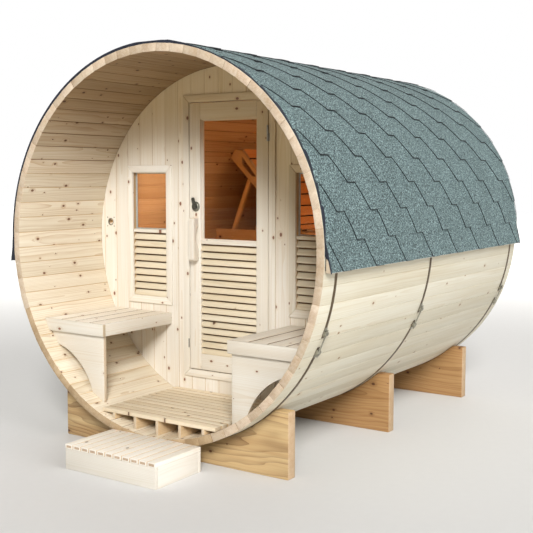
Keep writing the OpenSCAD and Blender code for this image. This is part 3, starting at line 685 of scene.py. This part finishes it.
for i, (node, mats, bevel, axes) in enumerate([
    ("door_stiles", [FRAME, SAWN], 0.002, Z_ALONG),
    ("door_rails", [FRAME, SAWN], 0.002, X_UPRIGHT),
    ("door_handle", [TRIM, SAWN], 0.005, Z_ALONG),
]):
    dress(node, mats, "door", "pine", bevel, 80 + i, axes, 3)

# Glass and the beads that hold it

for node in ["window_glass", "door_glass"]:
    keep(node, GLASS)


def bead(name, panes, wide, deep, materials, body, slot, seed):
    """Mitred beads round panes. A pane is x0, x1, z0, z1 and the y of its front."""
    boards = Boards(seed)
    section = [(0, 0), (wide, 0), (wide, -deep * 0.35), (wide * 0.35, -deep), (0, -deep)]
    for x0, x1, z0, z1, y in panes:
        corner = [(x0, z0, 1, 1), (x1, z0, -1, 1), (x1, z1, -1, -1), (x0, z1, 1, -1)]
        for a, b in zip(corner, corner[1:] + corner[:1]):
            bm = bmesh.new()
            ends = [[bm.verts.new((x + sx * d, y + e, z + sz * d)) for d, e in section]
                    for x, z, sx, sz in (a, b)]
            for i in range(len(section)):
                j = (i + 1) % len(section)
                bm.faces.new((ends[0][i], ends[0][j], ends[1][j], ends[1][i]))
            bm.faces.new(ends[0])
            bm.faces.new(ends[1])
            boards.take(bm, 0.0006, 1, axes=X_UPRIGHT if a[1] == b[1] else Z_ALONG)
    boards.finish(name, materials, body, slot=slot)


pane_low, pane_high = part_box("door_glass")
bead("look_door_bead", [(pane_low[0], pane_high[0], pane_low[2], pane_high[2], pane_low[1] - FIT)],
     0.009, 0.014, [FRAME, FRAME], "door", "pine", 86)
bead("look_window_bead", [(x0, x1, glass_low[2], glass_high[2], glass_low[1] - FIT)
                          for x0, x1 in ((win_near + FIT, glass_high[0]), (glass_low[0], -win_near - FIT))],
     0.006, 0.010, [SEAL, SEAL], "cabin", "dark_metal", 87)

# Turned and bent metal


class Metal:
    """Collects small metal forms into one mesh."""

    def __init__(self):
        self.bm = bmesh.new()

    def lathe(self, place, profile, sides):
        """Turns a profile of (radius, height) points about the local z axis. A radius of 0 closes an end."""
        rings = []
        for r, h in profile:
            if r == 0:
                rings.append([self.bm.verts.new(place @ Vector((0, 0, h)))])
            else:
                rings.append([self.bm.verts.new(place @ Vector((r * math.cos(t), r * math.sin(t), h)))
                              for t in np.linspace(0, 2 * math.pi, sides, endpoint=False)])
        for a, b in zip(rings, rings[1:]):
            for i in range(sides):
                j = (i + 1) % sides
                corners = [a[i % len(a)], a[j % len(a)], b[j % len(b)], b[i % len(b)]]
                self.bm.faces.new(list(dict.fromkeys(corners)))

    def plate(self, place, outline, thick):
        """A flat outline with a thickness and broken edges."""
        bm = bmesh.new()
        thicken(bm, [bm.faces.new([bm.verts.new((u, v, 0)) for u, v in outline])], thick)
        round_off(bm, 0.6, 0.0008, 2)
        copy = {v: self.bm.verts.new(place @ v.co) for v in bm.verts}
        for f in bm.faces:
            self.bm.faces.new([copy[v] for v in f.verts])
        bm.free()

    def finish(self, name, material, body, nodes=(), slot=None):
        bmesh.ops.recalc_face_normals(self.bm, faces=self.bm.faces)
        mesh = bpy.data.meshes.new(name)
        self.bm.to_mesh(mesh)
        self.bm.free()
        present(name, mesh, [material], body, nodes, 40)


def basis(at, x, y, z):
    """A place with its three axes."""
    return Matrix.Translation(at) @ Matrix((x, y, z)).transposed().to_4x4()


def rounded(w, h, r, n=4):
    """Outline of a rounded rectangle about the origin."""
    x, y = w / 2 - r, h / 2 - r
    out = []
    for cx, cy, start in ((x, y, 0), (-x, y, 90), (-x, -y, 180), (x, -y, 270)):
        turns = [math.radians(start + 90 * i / n) for i in range(n + 1)]
        out += [(cx + r * math.cos(t), cy + r * math.sin(t)) for t in turns]
    return out


FRONT = (Vector((1, 0, 0)), Vector((0, 0, 1)), Vector((0, -1, 0)))

# Tensioners: two bent lugs on the ends of each band, drawn together by a threaded rod
MIDDLE_BAND = -0.08  # y of the middle band
LUG = 0.049  # distance from the tensioner's middle to a lug's
ROD_OVER = 0.0092  # height of the rod's middle over the band
ROD_HALF = 0.072
THREAD_HALF = 0.0715
THREADS = 116  # crests and roots
FOOT = rounded(0.044, 0.022, 0.004)
EAR = [(-0.012, 0.0), (0.012, 0.0), (0.0115, 0.010), (0.008, 0.0145), (0.003, 0.0158),
       (-0.003, 0.0158), (-0.008, 0.0145), (-0.0115, 0.010)]
PIN = [(0, 0), (0.0046, 0), (0.0055, 0.0008), (0.0055, 0.0282), (0.0046, 0.029), (0, 0.029)]
NUT = [(0, 0), (0.0062, 0), (0.0072, 0.0008), (0.0072, 0.0056), (0.0062, 0.0064), (0, 0.0064)]
ROD = [(0, -ROD_HALF), (0.0032, -ROD_HALF)]
ROD += [(0.0034 + 0.0005 * (i % 2), -THREAD_HALF + 2 * THREAD_HALF * i / (THREADS - 1)) for i in range(THREADS)]
ROD += [(0.0032, ROD_HALF), (0, ROD_HALF)]


def round_axis(turn):
    """Directions out from the barrel and on round it, at an angle over the right side."""
    return Vector((math.cos(turn), 0, math.sin(turn))), Vector((-math.sin(turn), 0, math.cos(turn)))


tension = Metal()
points = [v.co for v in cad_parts["band_tensioners"].data.vertices]
angles = [math.atan2(p[2] - AXIS_Z, p[0]) for p in points]
middle = (min(angles) + max(angles)) / 2
seat = min(math.hypot(p[0], p[2] - AXIS_Z) for p in points)
ys = sorted(p[1] for p in points)
along = Vector((0, 1, 0))
for y in (ys[0] + 0.01, MIDDLE_BAND, ys[-1] - 0.01):
    axis = Vector((0, y, AXIS_Z))
    out, up = round_axis(middle)
    core = axis + out * (seat + ROD_OVER)
    for side in (-1, 1):
        o, u = round_axis(middle + side * LUG / seat)
        foot = axis + o * seat
        tension.plate(basis(foot + u * side * 0.008, u, along, o), FOOT, 0.0022)
        for e in (-0.0125, 0.0095):
            tension.plate(basis(foot + along * e, u, o, -along) @ Matrix.Translation((0, 0, -0.003)), EAR, 0.003)
        tension.lathe(basis(core + up * side * LUG - along * 0.0145, up, out, along), PIN, 20)
        tension.lathe(basis(core + up * side * 0.0552, out, along, up * side), NUT, 6)
    tension.lathe(basis(core, out, along, up), ROD, 12)
tension.finish("look_band_tensioners", STEEL, "cabin", ["band_tensioners"], "steel")

# Latch, hinges, vent ring and a small plate beside the door
ROSETTE = [(0, 0), (0.028, 0), (0.028, 0.003), (0.0268, 0.0044), (0.0238, 0.0048), (0.0222, 0.0040),
           (0.0196, 0.0040), (0.0178, 0.0058), (0.0140, 0.0074), (0.0095, 0.0080), (0, 0.0080)]
RING = [(0.0178, -0.006), (0.0196, -0.006), (0.0196, 0.0002), (0.0222, 0.0002), (0.0222, 0.0010),
        (0.0212, 0.0018), (0.0190, 0.0018), (0.0178, 0.0008), (0.0178, -0.006)]
SCREW = [(0, 0), (0.0040, 0), (0.0038, 0.0010), (0.0026, 0.0019), (0.0012, 0.0019), (0.0010, 0.0012), (0, 0.0012)]
TACK = [(0, 0), (0.0022, 0), (0.0018, 0.0008), (0, 0.0010)]
PLATE = 0.0022  # thickness of the small plate
low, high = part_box("latch_rosette")
hub = Vector(((low[0] + high[0]) / 2, high[1], (low[2] + high[2]) / 2))
rosette = Metal()
rosette.lathe(basis(hub, *FRONT), ROSETTE, 48)
rosette.finish("look_latch_rosette", STEEL, "door", ["latch_rosette"], "dark_metal")
dress("latch_lever", [DARK], "lever", "dark_metal", 0.0016, 95, segments=3)
dress("frame_hinges", [HINGE], "cabin", "dark_metal", 0.0008, 96)
dress("door_hinges", [HINGE], "door", "dark_metal", 0.0008, 97)

vent = Metal()
vent_at = Vector((VENT[0], front_low[1], AXIS_Z + VENT[1]))
vent.lathe(basis(vent_at, *FRONT), RING, 40)
for dx, dz in ((-1, -1), (1, -1), (1, 1), (-1, 1)):
    vent.lathe(basis(vent_at + Vector((0.0262 * dx, 0, 0.0262 * dz)), *FRONT), SCREW, 16)
vent.finish("look_vent", STEEL, "cabin", slot="steel")
catch = Metal()
leaf_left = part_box("door_stiles")[0][0]
catch_at = Vector((leaf_left - 0.0085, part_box("door_casing")[0][1] - 0.0002, AXIS_Z - 0.597))
catch.plate(basis(catch_at, *FRONT), rounded(0.006, 0.052, 0.0025), PLATE)
for dz in (-0.018, 0.018):
    catch.lathe(basis(catch_at + Vector((0, -PLATE, dz)), *FRONT), TACK, 12)
catch.finish("look_door_catch", DARK, "cabin", slot="dark_metal")

# Roof of six-sided shingle tabs, lapped in courses up from each eave. Angles are in degrees over the axis

TAB = 0.319  # from one tab to the next along the barrel
BUTT = 0.075  # width of a tab's lower edge
SHEET = 0.0036  # thickness of a sheet
COURSES = 12
LAST = 87.6  # where the last course ends, under the caps
EDGE = 0.007  # width of the strip of painted shade along the cut edges
BASE_R = 1.0074  # radius of the lowest sheet
TABS_R = 1.012  # radius at which the courses are laid out
RIDGE_R = 1.0121
EAVE_R = 1.034  # radius of the eaves' lower edge
LAP = 2.15  # length of a sheet, in courses
STACK = 2.2  # sheets that lie over each other at a tab's lower edge
BATTEN = 3.99  # width of the wedge batten, in degrees
EASE = 3.6  # degrees over which the roof comes back to the barrel
HEAD_OUT = 0.006  # how far the roof stands out at the batten's upper edge
EAVE_OUT, EAVE_FALL = 0.0243, 0.0183  # the same at the eave, and its loss over the batten
SQUEEZE, SINK = 0.8, 0.0035  # how much thinner and deeper the pressed sheets are
PRESS_IN = 0.05  # how far in from the front edge they are pressed
FIRST = 0.0034  # where the first course starts, up from the eave
RIDGE_DIP = 0.002  # how much lower the sheets lie under the ridge caps
LIFT, LIFT_VARY = 0.001, 0.0006  # how far the corners of the tabs curl up
roof_front, roof_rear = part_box("roof_right")[0][1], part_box("roof_right")[1][1]


def share(value):
    return min(max(value, 0), 1)


def flare(a, eave):
    """How far the eave stands out from the barrel, over its wedge batten."""
    up = a - eave
    if up < BATTEN:
        return EAVE_OUT - EAVE_FALL * up / BATTEN
    return max(0.0, HEAD_OUT * (1 - (up - BATTEN) / EASE))


def pressed(y, a, eave):
    """How far the sheets are pressed together, from 0 to 1 at the front edge. Less near ridge and eave."""
    return max(0, 1 - (y - roof_front) / PRESS_IN) * share((86 - a) / 14) * share((a - eave - 4) / 4)


def roof_side(name, node, sign, eave, seed):
    """One side of the roof. sign is +1 on the right, where the tabs' rear slants are partly tucked in."""
    rng = random.Random(seed)
    pitch = (LAST - eave) / COURSES
    expose = math.radians(pitch) * TABS_R
    slant = TAB / 2 - BUTT
    tuck = 0.4 if sign > 0 else 0.0
    verts, faces, tones, edge_shade = [], [], [], []

    def vert(y, s, k, lift, tone, shade_strip=0.0):
        """A point at a distance s up from the lower edge of course k."""
        a = eave + k * pitch + math.degrees((max(s, FIRST) if k == 0 else s) / TABS_R)
        press = pressed(y, a, eave) if sign > 0 else 0.0
        rise = SHEET * STACK * (1 - s / (LAP * expose)) + lift
        r = BASE_R + rise * (1 - SQUEEZE * press) - SINK * press + flare(a, eave)
        r -= RIDGE_DIP * share((a - 82) / 6)
        t = math.radians(a)
        verts.append((sign * r * math.cos(t), min(max(y, roof_front), roof_rear), AXIS_Z + r * math.sin(t)))
        tones.append(tone)
        edge_shade.append(shade_strip)
        return len(verts) - 1

    def quads(low, high):
        for i in range(len(low) - 1):
            faces.append((low[i], low[i + 1], high[i + 1], high[i]))

    starter = [[vert(y, f * expose, 0, -SHEET * 1.05, 0.5) for y in np.linspace(roof_front, roof_rear, 9)]
               for f in (0.004, 0.3, 0.55, 0.8, 1.05)]
    for low, high in zip(starter, starter[1:]):
        quads(low, high)
    thin = len(verts)
    for k in range(COURSES):
        mid = front_y - 0.007 + (TAB / 2 if k % 2 == 0 else 0) - TAB
        heads = []
        while mid - TAB / 2 < roof_rear:
            tone = rng.random()
            curl = rng.gauss(LIFT, LIFT_VARY)
            lift = max(0.0, curl) if k else 0.0
            if mid + TAB / 2 > roof_front + 0.002:
                rows = []
                for f in (0.0, EDGE / expose, 0.25, 0.5, 0.75, 1.0):
                    half = BUTT / 2 + slant * f
                    row = []
                    for u in (-1, -1 + EDGE / half, -0.33, 0.33, 1 - EDGE / half, 1):
                        rise = (1 - f) * lift * (1 - u) / 2
                        sunk = tuck * SHEET * (1 + u) / 2 * min(1.0, 5 * f, 5 * (1 - f))
                        # Painted shade along the butt and front slant of each tab, and on the left side along the
                        # rear slant too
                        shade_strip = 1.0 if f == 0 or u == -1 or (u == 1 and sign < 0) else 0.0
                        row.append(vert(mid + half * u, f * expose, k, rise - sunk, tone, shade_strip))
                    rows.append(row)
                for low, high in zip(rows, rows[1:]):
                    quads(low, high)
                heads.append(rows[-1])
            mid += TAB
        row = [v for head in heads for v in head]
        for lap in [1.25, 1.5, 1.75, 2.02] if k < COURSES - 1 else [1.1]:
            up = [vert(verts[v][1], lap * expose, k, 0, tones[v]) for v in row]
            quads(row, up)
            row = up
    sheet_piece(name, verts, faces, tones, edge_shade, [node], SHEET, thin)


def sheet_piece(name, verts, faces, tones, edge_shade, nodes, thickness, thin=0):
    """Shingle sheets given their thickness, with dark cut edges. The first points are of a thinner sheet."""
    mesh = bpy.data.meshes.new(name)
    mesh.from_pydata(verts, [], faces)
    bm = bmesh.new()
    bm.from_mesh(mesh)
    tone = bm.verts.layers.float.new("tone")
    shade_strip = bm.verts.layers.float.new("edge_shade")
    weight = bm.verts.layers.deform.new()
    bm.verts.ensure_lookup_table()
    for i, v in enumerate(bm.verts):
        v[tone], v[shade_strip] = tones[i], edge_shade[i]
        v[weight][0] = 0.0 if i < thin else 1.0
    bmesh.ops.dissolve_degenerate(bm, dist=0.0002, edges=bm.edges)
    flat = [f for f in bm.faces if f.calc_area() < 1e-7]
    bmesh.ops.delete(bm, geom=flat, context="FACES")
    loose = [v for v in bm.verts if not v.link_faces]
    bmesh.ops.delete(bm, geom=loose, context="VERTS")
    for f in bm.faces:
        middle = f.calc_center_median()
        if f.normal.dot(middle - Vector((0, middle[1], AXIS_Z))) < 0:
            f.normal_flip()
    bm.to_mesh(mesh)
    bm.free()
    obj = present(name, mesh, [SHINGLE, BITUMEN], "cabin", nodes, 30)
    uses = np.bincount([loop.edge_index for loop in mesh.loops], minlength=len(mesh.edges))
    mesh.edges.foreach_set("use_edge_sharp", (uses == 1).tolist())
    obj.vertex_groups.new(name="sheet")
    thick = obj.modifiers.new("thickness", "SOLIDIFY")
    thick.thickness = thickness
    thick.offset = -1
    thick.material_offset_rim = 1
    thick.vertex_group = "sheet"
    thick.thickness_vertex_group = 0.35


eave_right, eave_left = (math.degrees(math.asin((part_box(node)[0][2] - AXIS_Z) / EAVE_R))
                         for node in ("roof_right", "roof_left"))
roof_side("look_roof_right", "roof_right", 1, eave_right, 91)
roof_side("look_roof_left", "roof_left", -1, eave_left, 92)

# Ridge caps, each lapped over the one in front of it
CAP = 0.149  # from one cap to the next
CAPS = 16
CAP_HALF = math.radians(6.8)
CAP_SHEET = 0.002
CAP_LINES = (-1, -0.94, -0.75, -0.5, -0.25, 0, 0.25, 0.5, 0.75, 0.94, 1)
caps, quilt, shades, ends = [], [], [], []
cap_rng = random.Random(93)
for j in range(CAPS):
    shade = cap_rng.random()
    start = roof_front + CAP * j
    rows = []
    for d in (0.0, 0.008, 0.08, CAP, CAP * 1.4):
        row = []
        for u in CAP_LINES:
            t = CAP_HALF * u * (0.93 if d == 0 else 1.0)
            r = RIDGE_R + 0.0046 * u * u - 0.0019 * d / CAP
            caps.append((r * math.sin(t), min(start + d, roof_rear), AXIS_Z + r * math.cos(t)))
            shades.append(shade)
            # Painted shade along the front edge and both sides of each cap
            ends.append(1.0 if d == 0 or abs(u) == 1 else 0.0)
            row.append(len(caps) - 1)
        rows.append(row)
    for low, high in zip(rows, rows[1:]):
        for i in range(len(CAP_LINES) - 1):
            quilt.append((low[i], low[i + 1], high[i + 1], high[i]))
sheet_piece("look_roof_ridge", caps, quilt, shades, ends, ["roof_ridge"], CAP_SHEET)

# Front and rear edge of the roofing, where the felt is folded up over the cut shingles
FOLD = 0.0042  # how far the felt stands out from the shingles


def roof_edge(boards, y0, y1):
    """The folded felt from y0 to y1, from the right eave over the ridge to the left one."""
    angles = np.linspace(eave_right, 180 - eave_left, 181)
    inner, outer = [], []
    for t in angles:
        right = t < 90
        a, eave = (t, eave_right) if right else (180 - t, eave_left)
        r0 = OUT_R + FIT
        if right and a - eave < BATTEN:
            r0 = 1.0346 - 0.0200 * (a - eave) / BATTEN
        press = pressed(roof_front, a, eave) if right else 0.0
        r1 = BASE_R + SHEET * STACK * (1 - SQUEEZE * press) - SINK * press + flare(a, eave) + 0.0002
        r1 = min(r1, RIDGE_R / max(math.sin(math.radians(a)), 0.2))
        c, s = math.cos(math.radians(t)), math.sin(math.radians(t))
        inner.append((r0 * c, r0 * s))
        outer.append((r1 * c, r1 * s))
    bm = bmesh.new()
    rings = [[bm.verts.new((x, y, AXIS_Z + z)) for x, z in line] for line in (inner, outer) for y in (y0, y1)]
    for a, b in ((0, 1), (1, 3), (3, 2), (2, 0)):
        for i in range(len(angles) - 1):
            bm.faces.new((rings[a][i], rings[a][i + 1], rings[b][i + 1], rings[b][i]))
    for i in (0, -1):
        bm.faces.new((rings[0][i], rings[1][i], rings[3][i], rings[2][i]))
    boards.take(bm, 0.0006, 1, axes=X_ALONG)


edges = Boards(98)
roof_edge(edges, roof_front - FOLD, roof_front - FIT)
roof_edge(edges, roof_rear + FIT, roof_rear + FOLD)
edges.finish("look_roof_edge", [FELT], "cabin", slot="underlay")

# Floor, light and camera

WHITE = (1, 1, 1)
WARM = (1, 0.9, 0.74)

bpy.ops.mesh.primitive_plane_add(size=60, location=(0, 0, 0))
floor = bpy.context.object
floor.name = "studio_floor"
g = Graph("studio_floor")
fx, fy, _ = g.split(g.place())
away = g.length(fx, fy)
# Greyer near the object, as painted shade round it, and glowing further out, as painted light for an even white
# horizon
pale = g.plus(g.remap(away, 2.5, 9.0, 0.65, 0.95, True), g.times(g.noise(g.place(), 20.0), 0.02))
rough = g.remap(g.noise(g.place(), 30.0), 0.0, 1.0, 0.8, 0.9)
glow = g.remap(away, 3.0, 11.0, 0.0, 0.3, True)
g.surface(g.vec(pale, pale, pale), rough, {"Emission Color": (*WHITE, 1), "Emission Strength": glow})
floor.data.materials.append(g.mat)


def light(name, kind, power, colour, **props):
    data = bpy.data.lights.new(name, kind)
    data.energy = power
    data.color = colour
    for k, v in props.items():
        setattr(data, k, v)
    obj = bpy.data.objects.new(name, data)
    scene.collection.objects.link(obj)
    return obj


def sun(name, azimuth, height, power, angle, colour=WHITE):
    """A far soft light. azimuth is in degrees to the right of the front."""
    a, h = math.radians(azimuth), math.radians(height)
    towards = Vector((math.sin(a) * math.cos(h), -math.cos(a) * math.cos(h), math.sin(h)))
    obj = light(name, "SUN", power, colour, angle=math.radians(angle))
    obj.rotation_euler = towards.to_track_quat("Z", "Y").to_euler()


def hidden(name, kind, place, power, colour, **props):
    """A light in the cabin that shows only by what it lights."""
    obj = light(name, kind, power, colour, **props)
    obj.location = place
    obj.visible_camera = obj.visible_glossy = obj.visible_transmission = False
    return obj


world = bpy.data.worlds.new("studio")
world.use_nodes = True
nodes, links = world.node_tree.nodes, world.node_tree.links
nodes["Background"].inputs[0].default_value = (1, 0.88, 0.68, 1)
nodes["Background"].inputs[1].default_value = 0.16
white = nodes.new("ShaderNodeBackground")
white.inputs[0].default_value = (*WHITE, 1)
seen = nodes.new("ShaderNodeMixShader")
links.new(nodes.new("ShaderNodeLightPath").outputs["Is Camera Ray"], seen.inputs[0])
links.new(nodes["Background"].outputs[0], seen.inputs[1])
links.new(white.outputs[0], seen.inputs[2])
links.new(seen.outputs[0], nodes["World Output"].inputs[0])
scene.world = world
sun("key", 36, 32, 3.22, 18, (1, 0.995, 0.98))
sun("back", 205, 40, 0.75, 60)
sun("top", 40, 80, 0.35, 60)
sun("fill", 88, 26, 1.25, 40)
hidden("cabin_rear", "POINT", (0.56, 0.72, 1.56), 5.5, WARM, shadow_soft_size=0.05)
hidden("cabin_front", "POINT", (0.4, -0.42, 1.7), 7, WARM, shadow_soft_size=0.05)
lamp_at = Vector((-0.2, -0.2, 1.5))
lamp = hidden("cabin_left", "AREA", lamp_at, 2.2, WHITE, size=0.2, spread=math.radians(90))
lamp.rotation_euler = (Vector((-0.93, -0.12, 1.28)) - lamp_at).to_track_quat("-Z", "Y").to_euler()
scene.view_settings.view_transform = "Standard"
scene.view_settings.look = "None"

cam = bpy.data.cameras.new("camera")
cam.lens = 64.95
cam.sensor_width = 36
eye = bpy.data.objects.new("camera", cam)
eye.location = (3.1528, -4.8182, 1.449)
eye.rotation_euler = (math.pi / 2 - 0.0952, -0.0022, 0.597)
scene.collection.objects.link(eye)
scene.camera = eye
